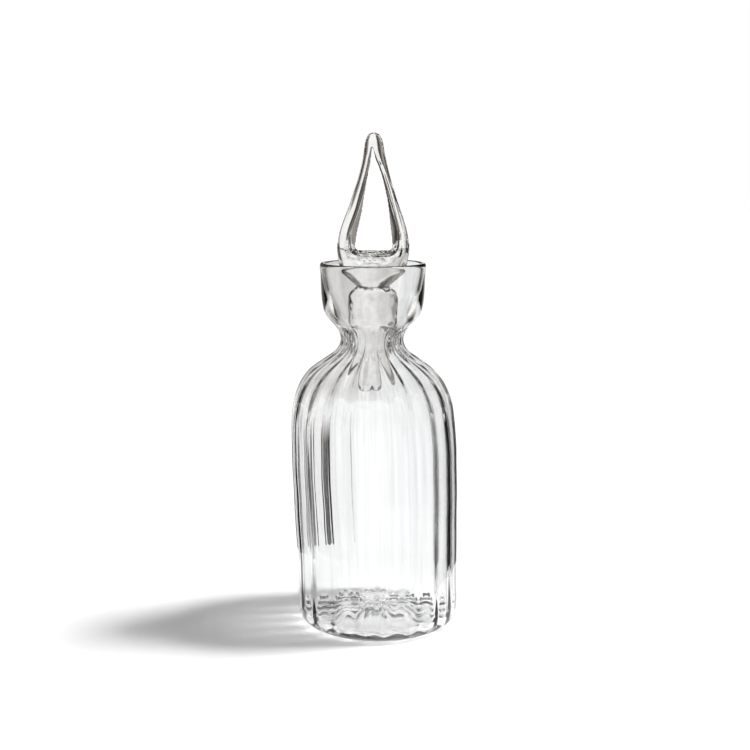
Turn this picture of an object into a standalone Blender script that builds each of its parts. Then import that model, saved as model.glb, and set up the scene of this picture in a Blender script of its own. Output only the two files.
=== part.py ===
"""Clear glass oil cruet, about 240 mm tall, with its stopper in place. Metres, +Z up.

The origin is on the axis, in the plane that the foot ring stands on. Two things come apart by hand, the
bottle and the stopper, and each is two formed pieces of glass that meet face to face at their weld.
"""

import math

import bmesh
import bpy
from mathutils import Matrix, Vector
from mathutils.geometry import interpolate_bezier

# Body: blown, with soft ribs
BASE_RADIUS = 0.0397
BELLY_RADIUS = 0.0410
BELLY_HEIGHT = 0.0860
HEEL_ROUND = 0.0062
FOOT_RING_WIDTH = 0.0050
BODY_WALL = 0.0026

# Base: thick, pushed up in the middle
FLOOR_THICKNESS = 0.0046
PUNT_RISE = 0.0050
DOME_RISE = 0.0052
INNER_HEEL_ROUND = 0.0070

# Neck
NECK_HEIGHT = 0.1405
NECK_RADIUS = 0.0148
NECK_WALL = 0.0051

# Ribs: they thicken the wall, most of it on the inside
RIB_COUNT = 20
RIB_TURN = -2.5  # degrees from +X to the nearest rib
COLUMNS_PER_RIB = 4
OUTER_RIB_DEPTH = 0.00030
INNER_RIB_DEPTH = 0.00060
RIB_FADE_HEIGHT = 0.0200

# Pouring cup: plain, fire-polished lip
MOUTH_RISE = 0.0095  # from the neck up to the weld
WELD_HEIGHT = NECK_HEIGHT + MOUTH_RISE
WELD_RADIUS = 0.0204
WELD_BORE = 0.0150
CUP_RADIUS = 0.0253
CUP_HEIGHT = 0.0284
CUP_WALL = 0.0026
LIP_RADIUS = 0.0258
LIP_WIDTH = 0.0032

# Clearances
WELD_GAP = 0.0003
SEAT_GAP = 0.0004
SAME_POINT_SHARE = 0.1  # of the weld gap: points nearer than this are one

# Stopper plug: ball and stem
STEM_LENGTH = 0.0235  # from the neck down to the tip
TIP_HEIGHT = NECK_HEIGHT - STEM_LENGTH
TIP_ROUND = 0.0066
BALL_RADIUS = 0.0123
BALL_RISE = 0.0052  # from the weld up to the middle of the ball
BALL_HEIGHT = WELD_HEIGHT + BALL_RISE
PINCH_RADIUS = 0.0079
PINCH_RISE = 0.0103  # from the middle of the ball up to the pinch
PINCH_HEIGHT = BALL_HEIGHT + PINCH_RISE

# Stopper finial: open drop on a cone foot
CONE_HALF_WIDTH = 0.0157
CONE_HALF_DEPTH = 0.0088
CONE_HEIGHT = 0.0081
DROP_HALF_WIDTH = 0.0176
DROP_HALF_DEPTH = 0.0070
DROP_HEIGHT = 0.0661
KNOB_RADIUS = 0.0048

# Finger hole: narrow in the middle of the glass, wide at its faces
HOLE_FLOOR_RISE = 0.0107
KNOB_GLASS = 0.0071  # above the hole
LEG_GLASS = 0.0088  # beside the hole, in mid-glass
LEG_FACE_GLASS = 0.0042  # beside the hole, at the faces
HOLE_FACE_DIP = 0.0068

PLAIN_COLUMNS = 48

# Outlines, as shares of the sizes named beside them
punt_shares = ((0.0, 1.0), (0.56, 0.78), (0.85, 0.22), (1.0, 0.0))  # radius to the foot ring, rise
dome_shares = ((0.66, 0.14), (0.36, 0.66), (0.0, 1.0))  # radius to the inner heel, rise
belly_swell_shares = ((0.45, 0.30),)  # height from heel to belly, radius from base to belly
shoulder_drop_shares = (  # height from belly to neck, radius from neck to belly
    (0.24, 0.977), (0.46, 0.915), (0.66, 0.745), (0.81, 0.410), (0.92, 0.085),
)
mouth_flare_shares = ((0.55, 0.32),)  # height from neck to weld, radius from neck to weld
throat_flare_shares = ((0.40, 0.14),)  # the same, for the bore
cup_outer_shares = ((0.07, 0.32), (0.21, 0.76), (0.36, 0.93), (0.60, 1.0))  # height, radius weld to cup
cup_inner_shares = ((0.08, 0.27), (0.21, 0.57), (0.36, 0.80), (0.60, 0.965))  # height, radius bore to cup
ball_under_shares = ((0.42, 0.70),)  # height from seat to ball middle, radius from stem to ball
ball_shares = ((0.45, 0.92), (0.72, 0.50), (0.88, 0.14))  # height ball middle to pinch, radius pinch to ball
stem_shares = ((0.30, 0.42), (0.65, 0.75))  # height from tip round to neck, radius from tip to bore
cone_width_shares = ((0.12, 0.10), (0.52, 0.55), (0.88, 0.93))  # height, half width from pinch to cone
cone_depth_shares = ((0.12, 0.45), (0.52, 1.15), (0.88, 1.10))  # the same, for its half depth
drop_width_shares = (  # height above the cone, half width
    (0.035, 0.923), (0.110, 0.985), (0.175, 1.0), (0.235, 0.980), (0.294, 0.935), (0.354, 0.868),
    (0.410, 0.798), (0.465, 0.716), (0.521, 0.638), (0.578, 0.566), (0.633, 0.497), (0.691, 0.432),
    (0.747, 0.376), (0.804, 0.325),
)
drop_depth_shares = (  # height above the cone, half depth
    (0.035, 1.190), (0.110, 1.0), (0.175, 0.785), (0.235, 0.643), (0.294, 0.543), (0.354, 0.500),
    (0.410, 0.479), (0.465, 0.471), (0.521, 0.471), (0.578, 0.471), (0.633, 0.471), (0.691, 0.479),
    (0.747, 0.500), (0.804, 0.557),
)
KNOB_FOOT_SHARE = 0.860
HOLE_TAPER_POWER = 1.3
HOLE_BOWL_POWER = 4
hole_floor_shares = (0.0, 0.35, 0.65, 0.88)
hole_step_shares = (0.0, 0.10, 0.20, 0.30, 0.42, 0.54, 0.66, 0.78, 0.88, 0.95)
flare_step_shares = (0.0, 0.35, 0.65, 0.85, 1.0)
MOST_FACE_SHARE = 0.95  # of the half width, where the hole's faces still count as facing forward
HOLE_FLARE_POWER = 0.8  # one would be a straight bevel
HOLE_OVERRUN_SHARE = 1.6


def between(low, high, share):
    return low + (high - low) * share


def smooth_curve(points, steps):
    """Points on a curve that runs smoothly through the given (radius, height) points."""
    knots = [Vector((r, 0.0, z)) for r, z in points]
    before = [knots[0]] + knots[:-1]
    after = knots[1:] + [knots[-1]]
    leans = [(b - a).normalized() for a, b in zip(before, after)]
    curve = []
    for here, there, lean, next_lean in zip(knots, knots[1:], leans, leans[1:]):
        reach = (there - here).length / 3
        stretch = interpolate_bezier(here, here + lean * reach, there - next_lean * reach, there, steps + 1)
        curve += [(p.x, p.z) for p in stretch[:-1]]
    return curve + [points[-1]]


def along(start, end, shares):
    """(radius, height) points between two such points, from (height, radius) shares of the way."""
    return [(between(start[0], end[0], across), between(start[1], end[1], up)) for up, across in shares]


def arc(centre, radii, start, end, steps):
    """Points round an ellipse's quarter or half, from one angle in degrees to another, counted from +X."""
    turns = [math.radians(between(start, end, i / steps)) for i in range(steps + 1)]
    return [(centre[0] + radii[0] * math.cos(a), centre[1] + radii[1] * math.sin(a)) for a in turns]


def glass(name, colour):
    material = bpy.data.materials.new(name)
    material.use_nodes = True
    shader = material.node_tree.nodes["Principled BSDF"]
    shader.inputs["Base Color"].default_value = (*colour, 1.0)
    shader.inputs["Metallic"].default_value = 0.0
    shader.inputs["Roughness"].default_value = 0.02
    shader.inputs["IOR"].default_value = 1.5
    shader.inputs["Transmission Weight"].default_value = 1.0
    return material


def turned(profile, columns, closed=False):
    """A bmesh of the (radius, height, note) profile turned about Z. A vertex layer keeps the note."""
    mesh = bmesh.new()
    layer = mesh.verts.layers.float.new("note")
    line = []
    for radius, height, note in profile:
        vertex = mesh.verts.new((radius, 0.0, height))
        vertex[layer] = note
        line.append(vertex)
    edges = [mesh.edges.new(pair) for pair in zip(line, line[1:])]
    if closed:
        edges.append(mesh.edges.new((line[-1], line[0])))
    bmesh.ops.spin(
        mesh, geom=line + edges, cent=(0, 0, 0), axis=(0, 0, 1), angle=math.tau, steps=columns,
        use_merge=True,
    )
    same = WELD_GAP * SAME_POINT_SHARE
    poles = [v for v in mesh.verts if math.hypot(v.co.x, v.co.y) < same]
    bmesh.ops.remove_doubles(mesh, verts=poles, dist=same)
    bmesh.ops.recalc_face_normals(mesh, faces=mesh.faces)
    return mesh


def rib_out(mesh):
    """Moves each vertex out or in by its rib depth, the note, where a rib or the groove beside it runs."""
    depth = mesh.verts.layers.float["note"]
    for vertex in mesh.verts:
        radius = math.hypot(vertex.co.x, vertex.co.y)
        if radius > abs(vertex[depth]):
            wave = math.cos(RIB_COUNT * math.atan2(vertex.co.y, vertex.co.x))
            grown = 1 + vertex[depth] * wave / radius
            vertex.co.x *= grown
            vertex.co.y *= grown
    turn = Matrix.Rotation(math.radians(RIB_TURN), 3, "Z")
    bmesh.ops.rotate(mesh, verts=mesh.verts, cent=(0, 0, 0), matrix=turn)


def piece(name, mesh, material):
    data = bpy.data.meshes.new(name)
    mesh.to_mesh(data)
    mesh.free()
    data.materials.append(material)
    data.shade_smooth()
    data.set_sharp_from_angle(angle=math.radians(40))
    made = bpy.data.objects.new(name, data)
    bpy.context.scene.collection.objects.link(made)
    return made


def plain(points):
    return [(radius, height, 0.0) for radius, height in points]


def body_outer():
    """The outside from the heel up to the weld."""
    base = (BASE_RADIUS, HEEL_ROUND)
    belly = (BELLY_RADIUS, BELLY_HEIGHT)
    neck = (NECK_RADIUS, NECK_HEIGHT)
    weld = (WELD_RADIUS, WELD_HEIGHT - WELD_GAP)
    shoulder = along((NECK_RADIUS, BELLY_HEIGHT), (BELLY_RADIUS, NECK_HEIGHT), shoulder_drop_shares)
    wall = smooth_curve([base] + along(base, belly, belly_swell_shares) + [belly], 1)
    mouth = along(neck, weld, mouth_flare_shares)
    return wall[:-1] + smooth_curve([belly] + shoulder + [neck] + mouth + [weld], 2)


def wall_at(radius):
    """Blown glass gathers as it is drawn in, so the wall grows from the belly to the neck."""
    gather = math.log(NECK_WALL / BODY_WALL) / math.log(BELLY_RADIUS / NECK_RADIUS)
    return BODY_WALL * (BELLY_RADIUS / radius) ** gather


def body_inner(outer):
    """The inside, set in from the outside by the wall, from the inner heel to the neck."""
    inside = []
    for before, point, after in zip(outer, outer[1:], outer[2:]):
        run = Vector((after[0] - before[0], after[1] - before[1])).normalized()
        wall = wall_at(point[0])
        radius = point[0] - run.y * wall
        height = point[1] + run.x * wall
        if FLOOR_THICKNESS + INNER_HEEL_ROUND < height < NECK_HEIGHT - NECK_WALL / 2:
            inside.append((radius, height))
    return inside


def bore_radius():
    return NECK_RADIUS - NECK_WALL


def throat():
    """The bore from the narrowest part of the neck up to the weld."""
    neck = (bore_radius(), NECK_HEIGHT)
    weld = (WELD_BORE, WELD_HEIGHT - WELD_GAP)
    return smooth_curve([neck] + along(neck, weld, throat_flare_shares) + [weld], 2)


def rib_share(height):
    """The ribs fade into the thick base."""
    rise = min(1.0, max(0.0, (height - HEEL_ROUND) / RIB_FADE_HEIGHT))
    return rise * rise * (3 - 2 * rise)


def bottle_body(material):
    outer = body_outer()
    inner = body_inner(outer)
    foot_radius = BASE_RADIUS - HEEL_ROUND
    punt = [((foot_radius - FOOT_RING_WIDTH) * radius, PUNT_RISE * rise) for radius, rise in punt_shares]
    heel = arc((foot_radius, HEEL_ROUND), (HEEL_ROUND, HEEL_ROUND), -90, 0, 4)
    heel_centre = (inner[0][0] - INNER_HEEL_ROUND, FLOOR_THICKNESS + INNER_HEEL_ROUND)
    inner_heel = arc(heel_centre, (INNER_HEEL_ROUND, INNER_HEEL_ROUND), 0, -90, 3)
    dome = [(heel_centre[0] * radius, FLOOR_THICKNESS + DOME_RISE * rise) for radius, rise in dome_shares]
    outside = [(r, z, OUTER_RIB_DEPTH * rib_share(z)) for r, z in outer[1:]]
    inside = [(r, z, -INNER_RIB_DEPTH * rib_share(z)) for r, z in reversed(inner)]
    profile = plain(punt) + plain(heel) + outside
    profile += plain(reversed(throat())) + inside + plain(inner_heel) + plain(dome)
    mesh = turned(profile, RIB_COUNT * COLUMNS_PER_RIB)
    rib_out(mesh)
    return piece("bottle_body", mesh, material)


def pouring_cup(material):
    top = WELD_HEIGHT + CUP_HEIGHT
    weld = (WELD_RADIUS, WELD_HEIGHT)
    outside = smooth_curve([weld] + along(weld, (CUP_RADIUS, top), cup_outer_shares), 2)
    lip_centre = (LIP_RADIUS - LIP_WIDTH / 2, top - LIP_WIDTH / 2)
    lip = arc(lip_centre, (LIP_WIDTH / 2, LIP_WIDTH / 2), 0, 180, 5)
    bore = (WELD_BORE, WELD_HEIGHT)
    inside = smooth_curve([bore] + along(bore, (CUP_RADIUS - CUP_WALL, top), cup_inner_shares), 2)
    profile = plain(outside) + plain(lip) + plain(reversed(inside))
    return piece("pouring_cup", turned(profile, PLAIN_COLUMNS, closed=True), material)


def stopper_plug(material):
    """Ball and stem. The stem lies a seat's gap inside the bore, and the ball swells out over the throat."""
    tip = arc((0.0, TIP_HEIGHT + TIP_ROUND), (TIP_ROUND, TIP_ROUND), -90, -20, 4)
    neck = (bore_radius() - SEAT_GAP, NECK_HEIGHT)
    seat_rise, seat_flare = throat_flare_shares[0]
    seat = (
        between(bore_radius(), WELD_BORE, seat_flare) - SEAT_GAP,
        between(NECK_HEIGHT, WELD_HEIGHT, seat_rise),
    )
    ball = (BALL_RADIUS, BALL_HEIGHT)
    pinch = (PINCH_RADIUS, PINCH_HEIGHT)
    shape = [tip[-1]] + along(tip[-1], neck, stem_shares) + [neck, seat]
    shape += along(seat, ball, ball_under_shares) + [ball]
    shape += along((PINCH_RADIUS, BALL_HEIGHT), (BALL_RADIUS, PINCH_HEIGHT), ball_shares) + [pinch]
    profile = tip[:-1] + smooth_curve(shape, 2) + [(0.0, PINCH_HEIGHT)]
    return piece("stopper_plug", turned(plain(profile), PLAIN_COLUMNS), material)


def finial_foot():
    return PINCH_HEIGHT + WELD_GAP


def drop_foot():
    return finial_foot() + CONE_HEIGHT


def drop_outline(cone, foot_shares, widest, shares):
    """(half size, height) of the finial from its pinch to its tip, for its width or its depth."""
    pinch = (PINCH_RADIUS, finial_foot())
    outline = [pinch] + along(pinch, (cone, drop_foot()), foot_shares)
    outline += [(widest * size, drop_foot() + DROP_HEIGHT * height) for height, size in shares]
    knob_height = DROP_HEIGHT * (1 - KNOB_FOOT_SHARE)
    top = drop_foot() + DROP_HEIGHT
    knob = arc((0.0, top - knob_height), (KNOB_RADIUS, knob_height), 0, 90, 4)
    return outline + knob[:-1] + [(0.0, top)]


def drop_width():
    return drop_outline(CONE_HALF_WIDTH, cone_width_shares, DROP_HALF_WIDTH, drop_width_shares)


def drop_depth():
    return drop_outline(CONE_HALF_DEPTH, cone_depth_shares, DROP_HALF_DEPTH, drop_depth_shares)


def size_at(outline, height):
    """The outline's half size at a height above its pinch."""
    for (size, low), (next_size, high) in zip(outline, outline[1:]):
        if height <= high:
            return between(size, next_size, (height - low) / (high - low))
    return outline[-1][0]


def face_depth(half_width, height):
    """How far in front of its middle the finial's face lies beside the hole."""
    across = min(MOST_FACE_SHARE, half_width / size_at(drop_width(), height))
    return size_at(drop_depth(), height) * math.sqrt(1 - across * across)


def hole_outline():
    """Points round the finger hole: (half width, height) in mid-glass, then the same at its faces."""
    floor = drop_foot() + HOLE_FLOOR_RISE
    top = drop_foot() + DROP_HEIGHT - KNOB_GLASS
    middle = DROP_HALF_WIDTH - LEG_GLASS
    face = DROP_HALF_WIDTH - LEG_FACE_GLASS
    half = []
    for share in hole_floor_shares:
        dip = HOLE_FACE_DIP * (1 - share ** HOLE_BOWL_POWER)
        half.append((middle * share, floor, face * share, floor - dip))
    for step in hole_step_shares:
        height = between(floor, top, step)
        taper = 1 - step ** HOLE_TAPER_POWER
        half.append((middle * taper, height, face * taper, height))
    half.append((0.0, top, 0.0, top))
    return half + [(-a, b, -c, d) for a, b, c, d in reversed(half[1:-1])]


def hole_cutter():
    """The finger hole: a drop with a flat floor in mid-glass, flaring to a bowl at both faces."""
    outline = hole_outline()
    faces = [face_depth(abs(c), d) for _, _, c, d in outline]
    reaches = [-share for share in reversed(flare_step_shares)] + list(flare_step_shares[1:])
    mesh = bmesh.new()
    place = mesh.verts.layers.int.new("place")
    ring = [mesh.verts.new() for _ in outline]
    rim = [mesh.edges.new(pair) for pair in zip(ring, ring[1:] + ring[:1])]
    for index, vertex in enumerate(ring):
        vertex[place] = index
    for reach in [-HOLE_OVERRUN_SHARE] + reaches + [HOLE_OVERRUN_SHARE]:
        if reach > -HOLE_OVERRUN_SHARE:
            grown = bmesh.ops.extrude_edge_only(mesh, edges=rim)["geom"]
            rim = [part for part in grown if isinstance(part, bmesh.types.BMEdge)]
            ring = [part for part in grown if isinstance(part, bmesh.types.BMVert)]
        flare = 1 - max(0.0, 1 - abs(reach) ** HOLE_FLARE_POWER) ** (1 / HOLE_FLARE_POWER)
        for vertex in ring:
            a, b, c, d = outline[vertex[place]]
            vertex.co = (between(a, c, flare), reach * faces[vertex[place]], between(b, d, flare))
    bmesh.ops.holes_fill(mesh, edges=mesh.edges)
    bmesh.ops.recalc_face_normals(mesh, faces=mesh.faces)
    return mesh


def stopper_finial(material):
    profile = [(0.0, finial_foot(), 1.0)]
    profile += [(w, z, d / w if w else 1.0) for (w, z), (d, _) in zip(drop_width(), drop_depth())]
    mesh = turned(profile, PLAIN_COLUMNS)
    slimness = mesh.verts.layers.float["note"]
    for vertex in mesh.verts:
        vertex.co.y *= vertex[slimness]
    finial = piece("stopper_finial", mesh, material)
    cutter = piece("finger_hole_cutter", hole_cutter(), material)
    cutter.hide_render = True
    cutter.display_type = "WIRE"
    cut = finial.modifiers.new("finger_hole", "BOOLEAN")
    cut.operation = "DIFFERENCE"
    cut.solver = "EXACT"
    cut.object = cutter
    cutter.parent = finial
    return finial


def main():
    for old in list(bpy.data.objects):
        bpy.data.objects.remove(old)
    body = bottle_body(glass("ribbed_glass", (0.93, 0.94, 0.93)))
    cup = pouring_cup(glass("cup_glass", (0.94, 0.95, 0.94)))
    cup.parent = body
    plug = stopper_plug(glass("plug_glass", (0.95, 0.95, 0.94)))
    finial = stopper_finial(glass("finial_glass", (0.96, 0.96, 0.95)))
    finial.parent = plug


main()
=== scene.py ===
import math

import bmesh
import bpy
from mathutils import Matrix, Vector, noise
from mathutils.geometry import interpolate_bezier


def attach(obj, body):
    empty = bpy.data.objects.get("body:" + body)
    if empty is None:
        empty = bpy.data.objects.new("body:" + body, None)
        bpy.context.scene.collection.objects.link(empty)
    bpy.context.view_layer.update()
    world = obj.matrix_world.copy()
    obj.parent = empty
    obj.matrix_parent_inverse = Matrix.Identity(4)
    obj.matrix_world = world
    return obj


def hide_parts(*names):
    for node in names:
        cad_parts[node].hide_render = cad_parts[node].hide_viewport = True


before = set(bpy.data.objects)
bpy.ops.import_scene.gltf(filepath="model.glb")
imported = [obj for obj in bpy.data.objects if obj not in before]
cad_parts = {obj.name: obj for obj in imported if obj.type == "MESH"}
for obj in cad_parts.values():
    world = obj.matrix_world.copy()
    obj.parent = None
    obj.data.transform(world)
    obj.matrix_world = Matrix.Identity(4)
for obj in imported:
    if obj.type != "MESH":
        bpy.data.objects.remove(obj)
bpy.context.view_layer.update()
print("frame loaded:", ", ".join(sorted(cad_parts)))

mm = 0.001
samePoint = 0.002  # mm, within which two points are one
white = (1.0, 1.0, 1.0, 1.0)


# Shared tools

def linear(hexColour):
    # sRGB hex to the linear values that the shaders take
    parts = [int(hexColour[i:i + 2], 16) / 255 for i in (1, 3, 5)]
    return [c / 12.92 if c < 0.04045 else ((c + 0.055) / 1.055) ** 2.4 for c in parts] + [1.0]


def addNode(tree, kind, settings=None, links=None):
    # settings: input or property values by name; links: input name to an output socket
    node = tree.nodes.new(kind)
    for name, value in (settings or {}).items():
        if name in node.inputs:
            node.inputs[name].default_value = value
        else:
            setattr(node, name, value)
    for name, output in (links or {}).items():
        tree.links.new(output, node.inputs[name])
    return node


def emptyMaterial(name):
    material = bpy.data.materials.new(name)
    material.use_nodes = True
    material.node_tree.nodes.clear()
    return material, material.node_tree


def mirrored(point):
    return Vector((-point.x, point.y, point.z))


def curveThrough(points, beyond, stepsFor):
    # a smooth curve that starts square to the axis and ends as if it went on to the point beyond
    before = [mirrored(points[1])] + points[:-1]
    after = points[1:] + [beyond]
    slopes = [(b - a).normalized() for a, b in zip(before, after)]
    curve = []
    for here, there, slope, nextSlope in zip(points, points[1:], slopes, slopes[1:]):
        chord = (there - here).length
        leaving, arriving = here + slope * chord / 3, there - nextSlope * chord / 3
        curve += interpolate_bezier(here, leaving, arriving, there, stepsFor(chord) + 1)[:-1]
    return curve + [points[-1]]


def smoothLine(knots, longest, fewest, rounds):
    # knots are (radius, height, note) in mm; the line through them carries the note as y
    points = [Vector((radius, note, height)) for radius, height, note in knots]
    line = curveThrough(points, mirrored(points[-2]),
                        lambda chord: max(fewest, math.ceil(chord / longest)))
    for _ in range(rounds):
        middle = [(a + b * 2 + c) / 4 for a, b, c in zip(line, line[1:], line[2:])]
        line = [line[0]] + middle + [line[-1]]
    return line


def spunGlass(line, columns):
    # a closed solid of the line, turned round the upright axis, with its notes kept in a layer
    mesh = bmesh.new()
    note = mesh.verts.layers.float.new("note")
    edge = []
    for point in line:
        vertex = mesh.verts.new((point.x * mm, 0, point.z * mm))
        vertex[note] = point.y
        edge.append(vertex)
    edges = [mesh.edges.new(pair) for pair in zip(edge, edge[1:])]
    bmesh.ops.spin(mesh, geom=edge + edges, cent=(0, 0, 0), axis=(0, 0, 1),
                   angle=math.tau, steps=columns, use_merge=True)
    bmesh.ops.remove_doubles(mesh, verts=mesh.verts, dist=samePoint * mm)
    bmesh.ops.recalc_face_normals(mesh, faces=mesh.faces)
    return mesh


def pieceFrom(mesh, name, material):
    data = bpy.data.meshes.new(name)
    mesh.to_mesh(data)
    mesh.free()
    data.materials.append(material)
    data.shade_smooth()
    made = bpy.data.objects.new(name, data)
    bpy.context.scene.collection.objects.link(made)
    return made


lean = [  # height, how far the hand-made glass stands off the axis to the right, in mm
    (0, 1.4), (30, 1.0), (60, 0.25), (84, -0.4), (107, -1.15), (129, -1.7), (141, -1.45), (153, -1.0),
    (178, -1.0), (190, -0.85), (208, -0.45), (226, -0.3), (240, -0.55),
]


def between(low, high, share):
    return low + (high - low) * share


def clamp(value):
    return max(0.0, min(1.0, value))


def ease(share):
    return share * share * (3 - 2 * share)


def alongKnots(knots, height):
    # the value at a height, eased from each knot (height, value) to the next
    for (low, before), (high, after) in zip(knots, knots[1:]):
        if height <= high:
            return between(before, after, ease(max(0.0, (height - low) / (high - low))))
    return knots[-1][1]


# Glass

def clearGlass(name, look):
    # soda-lime glass, hot-worked and fire-polished: clear, bright, and faintly grey where it is thick
    material, tree = emptyMaterial(name)
    place = addNode(tree, "ShaderNodeTexCoord").outputs["Object"]
    cords = addNode(tree, "ShaderNodeMapping", {"Scale": look["cordScale"]}, {"Vector": place})
    drawn = addNode(tree, "ShaderNodeTexNoise", {
        "Scale": 1 / (look["cordSpacing"] * mm), "Detail": look["cordDetail"],
    }, {"Vector": cords.outputs["Vector"]})
    bump = addNode(tree, "ShaderNodeBump", {"Strength": 1.0, "Distance": look["cordDepth"] * mm},
                   {"Height": drawn.outputs["Fac"]})
    # painted shade: faint upright streaks, which darken the glass's own faint tint in bands
    streaks = addNode(tree, "ShaderNodeMapping", {"Scale": look["streakScale"]}, {"Vector": place})
    streaked = addNode(tree, "ShaderNodeTexNoise", {
        "Scale": 1 / (look["streakSpacing"] * mm), "Detail": look["streakDetail"],
    }, {"Vector": streaks.outputs["Vector"]})
    tintAndStreakShade = addNode(tree, "ShaderNodeValToRGB", None, {"Fac": streaked.outputs["Fac"]})
    low, high = tintAndStreakShade.color_ramp.elements
    low.position, high.position = look["streakEdges"]
    low.color, high.color = linear(look["tintAndShadeLow"]), linear(look["tintAndShadeHigh"])
    # fine bubbles in the glass, and painted shade in the bottom of the hole, dim it
    seedsAndShade = addNode(tree, "ShaderNodeAttribute", {"attribute_name": "seedsAndShade"})
    dimmed = addNode(tree, "ShaderNodeValToRGB", None, {"Fac": seedsAndShade.outputs["Fac"]})
    low, high = dimmed.color_ramp.elements
    low.color, high.color = white, linear(look["seedsAndShadeColour"])
    colour = addNode(tree, "ShaderNodeVectorMath", {"operation": "MULTIPLY"})
    tree.links.new(tintAndStreakShade.outputs["Color"], colour.inputs[0])
    tree.links.new(dimmed.outputs["Color"], colour.inputs[1])
    shader = addNode(tree, "ShaderNodeBsdfPrincipled", {
        "Roughness": look["roughness"], "IOR": look["ior"], "Transmission Weight": 1.0,
    }, {"Base Color": colour.outputs[0], "Normal": bump.outputs["Normal"]})
    # light on its way to the floor passes the glass, more at a rib's crest, and so streaks the shadow
    wave = addNode(tree, "ShaderNodeAttribute", {"attribute_name": "wave"})
    let = addNode(tree, "ShaderNodeValToRGB", None, {"Fac": wave.outputs["Fac"]})
    low, high = let.color_ramp.elements
    low.color, high.color = linear(look["shadowLow"]), linear(look["shadowHigh"])
    through = addNode(tree, "ShaderNodeBsdfTransparent", None, {"Color": let.outputs["Color"]})
    path = addNode(tree, "ShaderNodeLightPath").outputs
    both = addNode(tree, "ShaderNodeMixShader", None, {"Fac": path["Is Shadow Ray"]})
    tree.links.new(shader.outputs[0], both.inputs[1])
    tree.links.new(through.outputs[0], both.inputs[2])
    depth = addNode(tree, "ShaderNodeVolumeAbsorption", {
        "Color": linear(look["deepColour"]), "Density": look["density"]})
    addNode(tree, "ShaderNodeOutputMaterial", None, {
        "Surface": both.outputs[0], "Volume": depth.outputs["Volume"]})
    return material


blownLook = {
    # cords: faint waves in the surface, drawn out upwards by the blowing
    "cordScale": (1.0, 1.0, 0.09),
    "cordSpacing": 4.0, "cordDepth": 0.004,  # mm
    "cordDetail": 2.0,
    # streaks: faint upright bands of painted shade in the body, a few to each rib
    "streakScale": (1.0, 1.0, 0.015),
    "streakSpacing": 3.6,  # mm
    "streakEdges": (0.36, 0.6),  # noise values
    "streakDetail": 3.0,
    # the glass's faint tint, darkened further where the painted streaks lie
    "tintAndShadeLow": "#F3F4F5", "tintAndShadeHigh": "#FFFFFF",
    "seedsAndShadeColour": "#404040",  # where fine bubbles lie closest, and where the painted shade in the bottom of the hole is deepest
    "shadowLow": "#848484", "shadowHigh": "#EBEBEB",  # let through between the ribs and at their crests
    "roughness": 0.0, "ior": 1.5,
    "deepColour": "#DAD5CD", "density": 6.0,  # per metre of glass
}
# drawn by hand, so its waves are deeper and less drawn out
solidLook = dict(blownLook, cordScale=(1.0, 1.0, 0.5), cordDepth=0.008, streakScale=(1.0, 1.0, 0.6),
                 tintAndShadeLow="#F5F4F2", shadowLow="#C8C8C8")


# Bottle: the ribbed body and the plain cup are one glass, welded hot

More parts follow.
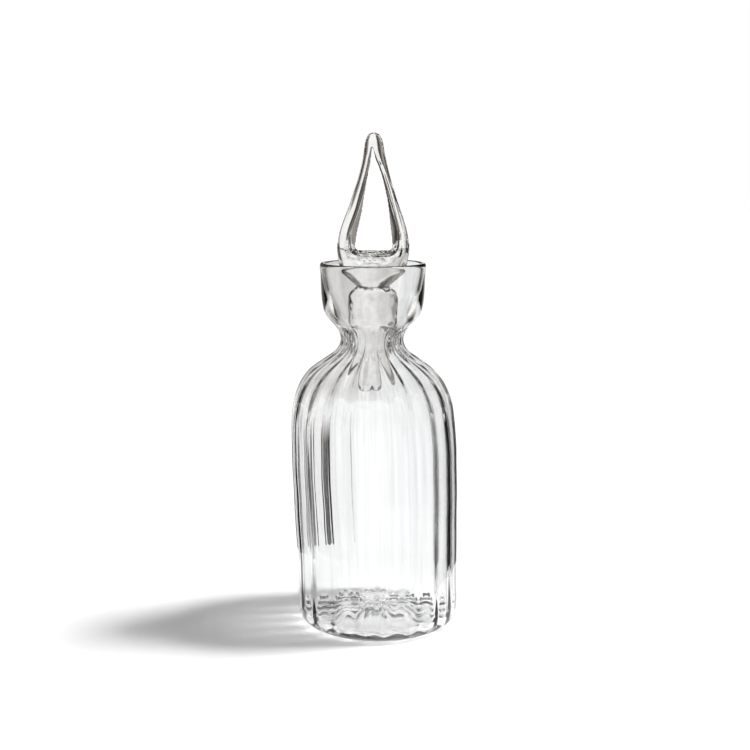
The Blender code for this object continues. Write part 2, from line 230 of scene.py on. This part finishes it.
bottle = {
    "columns": 360,  # faces round it
    "longestStep": 2.6, "fewestSteps": 3, "relaxRounds": 2,  # mm between points, points between knots
    "ribCount": 20,
    "ribTurn": -92.5,  # degrees from +X to a rib
    "ribSecond": 0.1,  # how much of the second wave a rib's section has
    "ribUneven": 0.3, "unevenPace": 1.7,  # share of a rib's depth, and how fast it comes and goes
    "ribStray": 1.6,  # degrees
    "strayAcross": 2.0, "strayUp": 60.0,  # how fast it strays round the bottle, and mm upwards
    "rippledUnder": 16.0,  # mm, the height up to which the base is uneven
    "rippleDepth": 0.1, "ripplePitch": 3.2,  # mm, rings on the inner floor
    "rippleStray": 0.8,  # pitches that a lump pushes the rings aside
    "scallop": 0.45, "floorRadius": 31.6,  # pitches that the rings follow the ribs, and mm to the wall
    "lumpDepth": 0.45, "lumpSize": 6.0,  # mm, on the inner floor
    "underShare": 0.6,  # how far the push-up's underside goes along with the floor over it
    "footInside": 29.0, "footFade": 9.0,  # mm: inside the even foot ring, over how far it gets uneven
    "spokes": 4.4, "spokeDepth": 0.34,  # how close the grooves from the middle are, and their depth in mm
    "scarRadius": 9.0, "scarDepth": 1.2, "scarSize": 2.2,  # mm, where the bottle was held under its base
    "noiseLevels": {"ribs": 5.0, "spokes": 3.0, "scar": 40.0},  # where each reads it, so that all differ
    "outside": [  # radius, height, rib depth, all in mm
        (0, 4.6, 0), (9, 4.3, 0), (16, 3.5, 0), (22, 2.2, 0), (27, 0.9, 0), (30, 0.25, 0),
        (32.5, 0.02, 0), (35.2, 0.3, 0), (37.4, 1.4, 0.02), (38.9, 3.3, 0.03), (39.6, 6.2, 0.05),
        (39.8, 12, 0.08), (39.65, 22, 0.1), (39.7, 32, 0.09), (40.0, 44, 0.09), (40.3, 58, 0.09),
        (40.5, 70, 0.09), (40.6, 82, 0.09), (40.45, 92, 0.09), (39.95, 102, 0.14), (38.9, 110, 0.16),
        (37.0, 116, 0.18), (33.6, 122.6, 0.2), (28.6, 127.8, 0.2), (22.3, 132, 0.2), (17.0, 136, 0.2),
        (14.9, 140.3, 0.2), (15.6, 144.3, 0.2), (18.2, 148, 0.09), (20.6, 150.4, 0.04), (22.6, 152.7, 0),
        (24.0, 156, 0), (24.75, 160.5, 0), (25.15, 166, 0), (25.3, 171.5, 0), (25.55, 175.2, 0),
        (25.7, 177.2, 0), (25.2, 178.15, 0), (24.4, 178.35, 0), (23.75, 177.9, 0), (23.5, 177.0, 0),
    ],
    "inside": [
        (23.3, 175, 0), (22.75, 170, 0), (22.0, 165, 0), (20.65, 160, 0), (19.2, 156, 0),
        (16.9, 151.8, 0), (14.3, 148.6, 0.05), (11.7, 145.4, 0.15), (10.0, 141.3, 0.2),
        (10.4, 137.4, 0.25), (13.6, 133.1, 0.3), (18.9, 129.1, 0.27), (25.3, 124.8, 0.27),
        (30.7, 119.8, 0.27), (34.4, 113.2, 0.27), (36.6, 105, 0.27), (37.6, 95.5, 0.27), (38.0, 84, 0.27),
        (37.9, 72, 0.27), (37.7, 59, 0.27), (37.4, 46, 0.27), (37.1, 34, 0.27), (37.0, 23, 0.27),
        (36.95, 13, 0.38), (36.4, 7.2, 0.4), (34.8, 4.3, 0.45), (31.6, 3.2, 0.45), (27.5, 3.4, 0.4),
        (22, 4.6, 0.3), (16, 6.3, 0.22), (10, 7.7, 0.14), (5, 8.4, 0.06), (0, 8.6, 0),
    ],
}


def ribWave(angle, height):
    # one at a rib's crest; the ribs stray and differ a little, as blown ones do
    across = bottle["strayAcross"]
    place = Vector((math.cos(angle) * across, math.sin(angle) * across, height / bottle["strayUp"]))
    turned = angle - math.radians(bottle["ribTurn"] + bottle["ribStray"] * noise.noise(place))
    turn = bottle["ribCount"] * turned
    level = Vector((0, 0, bottle["noiseLevels"]["ribs"]))
    uneven = 1 + bottle["ribUneven"] * noise.noise(place * bottle["unevenPace"] + level)
    return uneven * (math.cos(turn) + bottle["ribSecond"] * math.cos(2 * turn))


def floorWave(x, y):
    # the inner floor cooled in rings and lumps round the place where the bottle was held
    levels = bottle["noiseLevels"]
    radius = math.hypot(x, y)
    lumps = noise.noise(Vector((x, y, 0)) / bottle["lumpSize"])
    follow = math.cos(bottle["ribCount"] * (math.atan2(y, x) - math.radians(bottle["ribTurn"])))
    follow *= bottle["scallop"] * min(1.0, radius / bottle["floorRadius"])
    rings = math.sin(math.tau * (radius / bottle["ripplePitch"] + follow + lumps * bottle["rippleStray"]))
    scar = bottle["scarDepth"] * noise.noise(Vector((x, y, levels["scar"])) / bottle["scarSize"])
    scar *= math.exp(-(radius / bottle["scarRadius"]) ** 2)
    outwards = Vector((x, y, 0)).normalized()
    spokes = noise.noise(outwards * bottle["spokes"] + Vector((0, 0, levels["spokes"])))
    spokes *= bottle["spokeDepth"] * min(1.0, radius / bottle["scarRadius"])
    return bottle["rippleDepth"] * rings + bottle["lumpDepth"] * lumps + spokes + scar


def makeBottle():
    line = smoothLine(bottle["outside"] + bottle["inside"], bottle["longestStep"],
                      bottle["fewestSteps"], bottle["relaxRounds"])
    mesh = spunGlass(line, bottle["columns"])
    rib = mesh.verts.layers.float["note"]
    wave = mesh.verts.layers.float.new("wave")
    for vertex in mesh.verts:
        x, y, height = vertex.co / mm
        swell = ribWave(math.atan2(y, x), height) if vertex[rib] > 0 else 0.0
        vertex[wave] = (1 + swell) / 2
        push = vertex[rib] * swell
        if height < bottle["rippledUnder"]:
            uneven = vertex.normal.z * floorWave(x, y)
            if vertex.normal.z < 0:
                inwards = bottle["footInside"] - math.hypot(x, y)
                uneven *= clamp(inwards / bottle["footFade"]) * bottle["underShare"]
            push += uneven
        vertex.co += vertex.normal * push * mm
        vertex.co.x += alongKnots(lean, height) * mm
    return pieceFrom(mesh, "bottle_glass", clearGlass("blown soda-lime glass", blownLook))


bottleGlass = makeBottle()
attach(bottleGlass, "bottle")
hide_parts("bottle_body", "pouring_cup")
print("bottle blown:", len(bottleGlass.data.polygons), "faces")


# Stopper: the plug and the open drop are one glass, pinched together hot

stopper = {
    "columns": 160,  # faces round it, before it is melted
    "longestStep": 0.8, "fewestSteps": 4, "relaxRounds": 3,  # mm between points, points between knots
    "voxel": 0.38,  # mm between the points of the melted surface
    "smoothRounds": 6, "smoothFactor": 0.5,
    "plug": [  # radius, height, nought
        (0, 117, 0), (3.4, 117.5, 0), (5.9, 119.2, 0), (7.3, 122.2, 0), (8.1, 129, 0), (8.8, 136, 0),
        (9.3, 140.5, 0), (10.1, 144.2, 0), (11.0, 148, 0), (11.9, 152.3, 0), (12.4, 156.5, 0),
        (12.35, 159.4, 0), (11.6, 162.0, 0), (10.1, 164.0, 0), (8.4, 165.2, 0), (7.9, 165.9, 0),
    ],
    "drop": [  # half width, height, half depth: round at the pinch and flattened above it
        (7.9, 165.9, 7.9), (8.6, 166.7, 8.3), (10.6, 168.6, 8.9), (13.2, 171.2, 9.1), (15.0, 172.9, 9.0),
        (15.9, 174.5, 8.8), (16.6, 177.6, 8.1), (17.2, 181, 7.0), (17.6, 185.3, 5.5), (17.3, 189, 4.5),
        (16.5, 193, 3.8), (15.35, 197, 3.5), (14.0, 200.9, 3.35), (12.5, 204.6, 3.3), (11.15, 208.3, 3.3),
        (9.95, 212, 3.2), (8.75, 215.7, 3.1), (7.65, 219.4, 2.9), (6.65, 223.2, 2.7), (5.75, 227, 2.6),
        (5.0, 230.8, 2.6), (4.6, 234, 2.6), (4.0, 236.8, 2.3), (2.5, 239.2, 1.6), (0, 240, 0),
    ],
    "hole": [  # half width and height in mid-glass, then the same at the faces
        (0, 184.5, 0, 177.7), (3.1, 184.5, 4.8, 177.9), (5.7, 184.5, 8.8, 179.0),
        (7.7, 184.6, 11.9, 181.3), (8.7, 185.6, 13.4, 184.6), (8.65, 189, 13.4, 189),
        (7.9, 194, 12.6, 194), (7.0, 199, 11.1, 199), (6.2, 204, 9.5, 204), (5.6, 208.5, 8.2, 208.5),
        (4.7, 213, 6.9, 213), (3.8, 217.6, 5.4, 217.6), (2.6, 222.3, 3.9, 222.3), (1.2, 227, 2.4, 227),
        (0.55, 230.5, 1.2, 230.5), (0, 234.2, 0, 234.2),
    ],
    "holeDrift": [  # height, how far the hole stands off the drop's middle to the right
        (184, 0.2), (190, 0.4), (204, 0.75), (212, 0.6), (219, 0.3), (224, -0.1), (228, -0.6),
        (234, -0.8),
    ],
    "flare": [0.0, 0.12, 0.25, 0.4, 0.55, 0.7, 0.82, 0.91, 0.97, 1.0],  # shares of the half depth
    "flarePower": 0.8,  # one is a straight bevel, two is a round one
    "overrun": 1.6,  # times the half depth, where the cutter ends
    "faceShare": 0.9,  # of the half width, out to which the drop's faces are taken to face forward
    "dropFrom": 175.0,  # mm, under the lowest point of the hole
    "holeSteps": 4,  # points between two knots of the hole
    "turn": -8.0,  # degrees that the stopper stands turned in the neck
    # lumps on the ball, in mm, and over how many mm they fade in
    "lumpDepth": 0.42, "lumpSize": 3.8, "lumpFrom": 146.0, "lumpTop": 166.0, "lumpFade": 6.0,
    # a swirl in the bottom of the hole, in mm
    "swirlDepth": 0.13, "swirlSize": 2.4, "swirlFrom": 176.0, "swirlTo": 187.0,
    # fine bubbles and painted shade, which dim the glass: how densely the bubbles lie at the pinch, and
    # how deep the painted shade is in the bottom of the hole
    "seedsAndShadeSpread": 1.0,  # how unevenly they lie
    # painted shade where the bottom of the hole faces up, uneven like a cloud of fine bubbles
    "dishShade": 0.3, "dishEdge": (0.15, 0.4),  # where the glass starts to face up, and where it does
    "pinchSeeds": 0.3, "pinchHeight": 165.9, "pinchReach": 1.1,  # the pinch's height and reach in mm
    # a few larger bubbles, caught under the hole: across, deep, height and radius in mm
    "bubbleDivisions": 2,
    "bubbles": [
        (-6.4, -2.0, 179.3, 0.42), (-5.2, -1.0, 179.8, 0.3), (-3.9, -2.6, 178.6, 0.5),
        (-2.4, -1.2, 179.6, 0.34), (-1.2, -2.2, 178.4, 0.62), (0.4, -0.8, 180.0, 0.3),
        (1.6, -2.4, 178.9, 0.44), (3.0, -1.4, 179.9, 0.36), (4.6, -2.0, 180.6, 0.26),
        (-4.6, 0.8, 180.9, 0.24), (2.2, 1.2, 181.2, 0.3), (-0.4, 1.6, 180.7, 0.4),
    ],
}


def makeStopper():
    profile = [(w, z, w) for w, z, _ in stopper["plug"]] + [(w, z, d) for w, z, d in stopper["drop"][1:]]
    line = smoothLine(profile, stopper["longestStep"], stopper["fewestSteps"], stopper["relaxRounds"])
    mesh = spunGlass(line, stopper["columns"])
    depth = mesh.verts.layers.float["note"]
    for vertex in mesh.verts:
        width = math.hypot(vertex.co.x, vertex.co.y) / mm
        if width > samePoint:
            vertex.co.y *= vertex[depth] / width
    solid = pieceFrom(mesh, "stopper_glass", clearGlass("solid soda-lime glass", solidLook))
    cutter = makeHoleCutter(line)
    cut = solid.modifiers.new("finger hole", "BOOLEAN")
    cut.operation = "DIFFERENCE"
    cut.solver = "EXACT"
    cut.object = cutter
    melt = solid.modifiers.new("melt", "REMESH")
    melt.mode = "VOXEL"
    melt.voxel_size = stopper["voxel"] * mm
    melt.use_smooth_shade = True
    polish = solid.modifiers.new("fire polish", "SMOOTH")
    polish.factor = stopper["smoothFactor"]
    polish.iterations = stopper["smoothRounds"]
    graph = bpy.context.evaluated_depsgraph_get()
    melted = bpy.data.meshes.new_from_object(solid.evaluated_get(graph))
    solid.modifiers.clear()
    solid.data = melted
    solid.data.name = "stopper_glass"
    bpy.data.objects.remove(cutter)
    addBubbles(solid.data)
    roughenStopper(solid.data)
    solid.data.shade_smooth()
    return solid


def seedsAndShadeAt(height, swirl, facing):
    # how densely fine bubbles lie at the pinch, and how deep the painted shade is in the bottom of the
    # hole, from nought to one and a little over
    cloud = stopper["seedsAndShadeSpread"] * swirl
    pinch = 1 - abs(height - stopper["pinchHeight"]) / stopper["pinchReach"]
    if pinch > 0:
        return 2 * max(0.0, stopper["pinchSeeds"] + cloud) * min(1.0, 2 * pinch)
    if stopper["swirlFrom"] < height < stopper["swirlTo"]:
        start, end = stopper["dishEdge"]
        return max(0.0, stopper["dishShade"] + cloud) * clamp((facing - start) / (end - start))
    return 0.0


def moveOut(height, place, swirl, facing):
    # in mm, how far the glass stands out where it cooled unevenly
    if height < stopper["lumpTop"]:
        fadeIn = (height - stopper["lumpFrom"]) / stopper["lumpFade"]
        ball = clamp(min(stopper["lumpTop"] - height, fadeIn))
        return stopper["lumpDepth"] * noise.noise(place / mm / stopper["lumpSize"]) * ball
    if stopper["swirlFrom"] < height < stopper["swirlTo"]:
        return stopper["swirlDepth"] * swirl * max(0.0, facing)
    return 0.0


def roughenStopper(data):
    turned = Matrix.Rotation(math.radians(stopper["turn"]), 4, "Z")
    # this layer holds the fine bubbles at the pinch and the painted shade in the bottom of the hole
    seedsAndShade = data.attributes.new("seedsAndShade", "FLOAT", "POINT").data
    # every normal is read before the first point moves
    places = [vertex.co.copy() for vertex in data.vertices]
    outwards = [vertex.normal.copy() for vertex in data.vertices]
    for vertex, seed, place, outward in zip(data.vertices, seedsAndShade, places, outwards):
        height = place.z / mm
        swirl = noise.noise(place / mm / stopper["swirlSize"])
        seed.value = seedsAndShadeAt(height, swirl, outward.z)
        moved = turned @ (place + outward * moveOut(height, place, swirl, outward.z) * mm)
        moved.x += alongKnots(lean, height) * mm
        vertex.co = moved


def addBubbles(data):
    mesh = bmesh.new()
    mesh.from_mesh(data)
    for across, deep, height, radius in stopper["bubbles"]:
        made = bmesh.ops.create_icosphere(
            mesh, subdivisions=stopper["bubbleDivisions"], radius=radius * mm)["verts"]
        bmesh.ops.translate(mesh, verts=made, vec=(across * mm, deep * mm, height * mm))
        faces = {face for vertex in made for face in vertex.link_faces}
        bmesh.ops.reverse_faces(mesh, faces=list(faces))  # the glass lies outside a bubble
    mesh.to_mesh(data)
    mesh.free()


def makeHoleCutter(line):
    half = smoothHole([(a, b) for a, b, _, _ in stopper["hole"]])
    face = smoothHole([(c, d) for _, _, c, d in stopper["hole"]])
    outline = [(a, b, c, d) for (a, b), (c, d) in zip(half, face)]
    outline += [(-a, b, -c, d) for a, b, c, d in reversed(outline[1:-1])]
    sizes = [(p.z, p.x, p.y) for p in line if p.z > stopper["dropFrom"]]
    mesh = bmesh.new()
    place = mesh.verts.layers.int.new("place")
    ring = [mesh.verts.new() for _ in outline]
    rim = [mesh.edges.new(pair) for pair in zip(ring, ring[1:] + ring[:1])]
    for index, vertex in enumerate(ring):
        vertex[place] = index
    reaches = [-share for share in reversed(stopper["flare"])] + stopper["flare"][1:]
    for reach in [-stopper["overrun"]] + reaches + [stopper["overrun"]]:
        if reach > -stopper["overrun"]:
            grown = bmesh.ops.extrude_edge_only(mesh, edges=rim)["geom"]
            rim = [part for part in grown if isinstance(part, bmesh.types.BMEdge)]
            ring = [part for part in grown if isinstance(part, bmesh.types.BMVert)]
        power = stopper["flarePower"]
        flare = 1 - max(0.0, 1 - abs(reach) ** power) ** (1 / power)
        for vertex in ring:
            a, b, c, d = outline[vertex[place]]
            _, wide, deep = next(size for size in sizes if size[0] >= d)
            # where the drop's face meets the flare
            face = deep * math.sqrt(1 - min(stopper["faceShare"], abs(c) / wide) ** 2)
            height = between(b, d, flare)
            across = between(a, c, flare) + alongKnots(stopper["holeDrift"], height)
            vertex.co = (across * mm, reach * face * mm, height * mm)
    bmesh.ops.holes_fill(mesh, edges=mesh.edges)
    bmesh.ops.recalc_face_normals(mesh, faces=mesh.faces)
    return pieceFrom(mesh, "hole_cutter", None)


def smoothHole(knots):
    # the same number of points between each two knots, so that the two outlines pair up
    points = [Vector((x, 0, z)) for x, z in knots]
    curve = curveThrough(points, points[-1], lambda chord: stopper["holeSteps"])
    return [(point.x, point.z) for point in curve]


stopperGlass = makeStopper()
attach(stopperGlass, "stopper")
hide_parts("stopper_plug", "stopper_finial")
print("stopper drawn:", len(stopperGlass.data.polygons), "faces")


# Studio

studio = {
    "floorSize": 12.0,  # m
    "floorColour": "#E8E8E8",
    "floorLift": 0.08,  # shown light that the floor has of its own, so that it meets the white behind it
    "floorDrop": 0.02,  # mm under the foot ring, so that the two don't share a plane
    "ambient": 0.2,  # light from all round that falls on the floor
    "sunTurn": 9.0, "sunRise": 57.0,  # degrees from +X towards +Y, and above the floor
    "sunWidth": 12.0,  # degrees across
    "sunPower": 3.9,  # watts per square metre
}


def shownRay(tree):
    # one for what the camera, a reflection or the glass shows, and nought for what lights the floor
    path = addNode(tree, "ShaderNodeLightPath").outputs
    seen = addNode(tree, "ShaderNodeMath", {"operation": "ADD"})
    tree.links.new(path["Is Camera Ray"], seen.inputs[0])
    tree.links.new(path["Is Glossy Ray"], seen.inputs[1])
    glassToo = addNode(tree, "ShaderNodeMath", {"operation": "ADD", "use_clamp": True})
    tree.links.new(seen.outputs[0], glassToo.inputs[0])
    tree.links.new(path["Is Transmission Ray"], glassToo.inputs[1])
    direct = addNode(tree, "ShaderNodeMath", {"operation": "SUBTRACT", "use_clamp": True})
    tree.links.new(glassToo.outputs[0], direct.inputs[0])
    tree.links.new(path["Diffuse Depth"], direct.inputs[1])
    return direct.outputs[0]


def makeWorld():
    world = bpy.data.worlds.new("white studio")
    bpy.context.scene.world = world
    world.use_nodes = True
    tree = world.node_tree
    tree.nodes.clear()
    dim = addNode(tree, "ShaderNodeBackground", {"Color": white, "Strength": studio["ambient"]})
    shown = addNode(tree, "ShaderNodeBackground", {"Color": white, "Strength": 1.0})
    mixed = addNode(tree, "ShaderNodeMixShader", None, {"Fac": shownRay(tree)})
    tree.links.new(dim.outputs[0], mixed.inputs[1])
    tree.links.new(shown.outputs[0], mixed.inputs[2])
    addNode(tree, "ShaderNodeOutputWorld", None, {"Surface": mixed.outputs[0]})


def makeFloor():
    mesh = bmesh.new()
    bmesh.ops.create_grid(mesh, x_segments=1, y_segments=1, size=studio["floorSize"] / 2)
    # a sheet of matt white paper: it shows the shadow and has no gloss
    material, tree = emptyMaterial("matt white floor")
    matt = addNode(tree, "ShaderNodeBsdfDiffuse", {"Color": linear(studio["floorColour"])})
    lift = addNode(tree, "ShaderNodeMath", {"operation": "MULTIPLY"})
    tree.links.new(shownRay(tree), lift.inputs[0])
    lift.inputs[1].default_value = studio["floorLift"]
    own = addNode(tree, "ShaderNodeEmission", {"Color": white}, {"Strength": lift.outputs[0]})
    both = addNode(tree, "ShaderNodeAddShader")
    tree.links.new(matt.outputs[0], both.inputs[0])
    tree.links.new(own.outputs[0], both.inputs[1])
    addNode(tree, "ShaderNodeOutputMaterial", None, {"Surface": both.outputs[0]})
    floor = pieceFrom(mesh, "floor", material)
    floor.location.z = -studio["floorDrop"] * mm


def makeSun():
    data = bpy.data.lights.new("window", "SUN")
    data.energy = studio["sunPower"]
    data.angle = math.radians(studio["sunWidth"])
    sun = bpy.data.objects.new("window", data)
    turn, rise = math.radians(studio["sunTurn"]), math.radians(studio["sunRise"])
    towards = Vector((math.cos(turn) * math.cos(rise), math.sin(turn) * math.cos(rise), math.sin(rise)))
    sun.rotation_euler = towards.to_track_quat("Z", "Y").to_euler()
    bpy.context.scene.collection.objects.link(sun)


cards = {
    # dark cards round the body: from and to in degrees clockwise from straight behind, then in mm the
    # distance, the bottom, the height where it starts to turn white, and the top
    "dark": [
        (-44, -18, 119, 2, 68, 90), (-83, -55, 119, 2, 106, 114), (-150, -98, 119, 7, 106, 114),
        (39, 112, 80, 9, 106, 114),
    ],
    "darkest": 0.02, "softEdge": 2.5,  # glow, and degrees over which a dark card fades to white
    # rings round the cup and round the finial: the distance, each height with its share of the shade,
    # and each direction with its glow
    "rings": [
        {"distance": 120, "heights": [(98, 0), (116, 1), (161, 1), (170, 0)], "glow": [
            (-180, 0.6), (-150, 0.5), (-146, 0.05), (-107, 0.05), (-103, 0.7), (-77, 0.7), (-74, 0.05),
            (-54, 0.05), (-50, 0.35), (-42, 0.35), (-36, 0.4), (-28, 0.7), (-20, 0.78), (-12, 0.74),
            (-6, 0.78), (0, 0.95), (10, 1), (17, 1), (30, 1), (35, 0.8), (40, 0.35), (48, 0.08),
            (114, 0.08), (118, 0.7), (152, 0.7), (156, 0.5), (180, 0.6),
        ]},
        {"distance": 121, "heights": [(169, 0), (179, 1), (420, 1)], "glow": [
            (-180, 0.05), (-150, 0.05), (-130, 0.1), (-105, 0.2), (-92, 0.45), (-84, 0.15), (-66, 0.2),
            (-40, 0.3), (-26, 0.24), (-20, 0.06), (-13, 0.08), (-8, 1), (16, 1), (21, 0.35), (27, 0.2),
            (34, 0.04), (118, 0.04), (124, 0.9), (146, 0.9), (152, 0.05), (180, 0.05),
        ]},
    ],
    "darkHue": "#FFF6EC",  # the dark cards are a little warm, the white ones plain
    "step": 1.0,  # degrees
}


def addCard(mesh, start, end, distance, heights, glowAt):
    # an upright curved card, which is white at a height where the share of its shade is nought
    glow = mesh.verts.layers.float["glow"]
    step = cards["step"]
    bottom, bottomShare = heights[0]
    edge = []
    for i in range(round((end - start) / step) + 1):
        turn = start + i * step
        across = math.sin(math.radians(turn)) * distance
        behind = math.cos(math.radians(turn)) * distance
        vertex = mesh.verts.new((across * mm, behind * mm, bottom * mm))
        vertex[glow] = between(1.0, glowAt(turn), bottomShare)
        edge.append(vertex)
    edges = [mesh.edges.new(pair) for pair in zip(edge, edge[1:])]
    for (low, _), (high, share) in zip(heights, heights[1:]):
        grown = bmesh.ops.extrude_edge_only(mesh, edges=edges)["geom"]
        edges = [part for part in grown if isinstance(part, bmesh.types.BMEdge)]
        edge = [part for part in grown if isinstance(part, bmesh.types.BMVert)]
        bmesh.ops.translate(mesh, verts=edge, vec=(0, 0, (high - low) * mm))
        for vertex in edge:
            turn = math.degrees(math.atan2(vertex.co.x, vertex.co.y))
            # the same direction, counted on from the card's start
            turn += 360 * math.ceil((start - step / 2 - turn) / 360)
            vertex[glow] = between(1.0, glowAt(turn), share)


def darkShade(start, end):
    def glowAt(turn):
        inside = clamp(min(turn - start, end - turn) / cards["softEdge"])
        return between(1.0, cards["darkest"], ease(inside))
    return glowAt


def makeCards():
    # cards round the object, which only its glass shows: they draw the dark lines of clear glass
    mesh = bmesh.new()
    mesh.verts.layers.float.new("glow")
    for start, end, distance, bottom, fade, top in cards["dark"]:
        heights = [(bottom, 1), (fade, 1), (top, 0)]
        addCard(mesh, start, end, distance, heights, darkShade(start, end))
    for ring in cards["rings"]:
        addCard(mesh, -180, 180, ring["distance"], ring["heights"],
                lambda turn: alongKnots(ring["glow"], turn))
    # white, grey and black cards with painted light: they glow by their own emission, at each point's
    # glow, as if lit evenly from outside
    material, tree = emptyMaterial("graded card")
    shade = addNode(tree, "ShaderNodeAttribute", {"attribute_name": "glow"})
    hue = addNode(tree, "ShaderNodeValToRGB", None, {"Fac": shade.outputs["Fac"]})
    hue.color_ramp.elements[0].color = linear(cards["darkHue"])
    shown = addNode(tree, "ShaderNodeEmission", None, {
        "Color": hue.outputs["Color"], "Strength": shade.outputs["Fac"]})
    addNode(tree, "ShaderNodeOutputMaterial", None, {"Surface": shown.outputs[0]})
    card = pieceFrom(mesh, "cards", material)
    card.visible_camera = False
    card.visible_diffuse = False
    card.visible_shadow = False


makeWorld()
makeFloor()
makeSun()
makeCards()
print("studio lit")


# Camera

view = {
    "place": (0, -595.4, 222.6),  # mm
    "pitch": 9.46,  # degrees down
    "focal": 1233.0, "frameWidth": 750,  # pixels
    "sensor": 36.0,  # mm
}

cameraData = bpy.data.cameras.new("camera")
cameraData.sensor_width = view["sensor"]
cameraData.lens = view["focal"] / view["frameWidth"] * view["sensor"]
camera = bpy.data.objects.new("camera", cameraData)
camera.location = Vector(view["place"]) * mm
camera.rotation_euler = (math.radians(90 - view["pitch"]), 0, 0)
bpy.context.scene.collection.objects.link(camera)
bpy.context.scene.camera = camera

bpy.context.scene.view_settings.view_transform = "Standard"
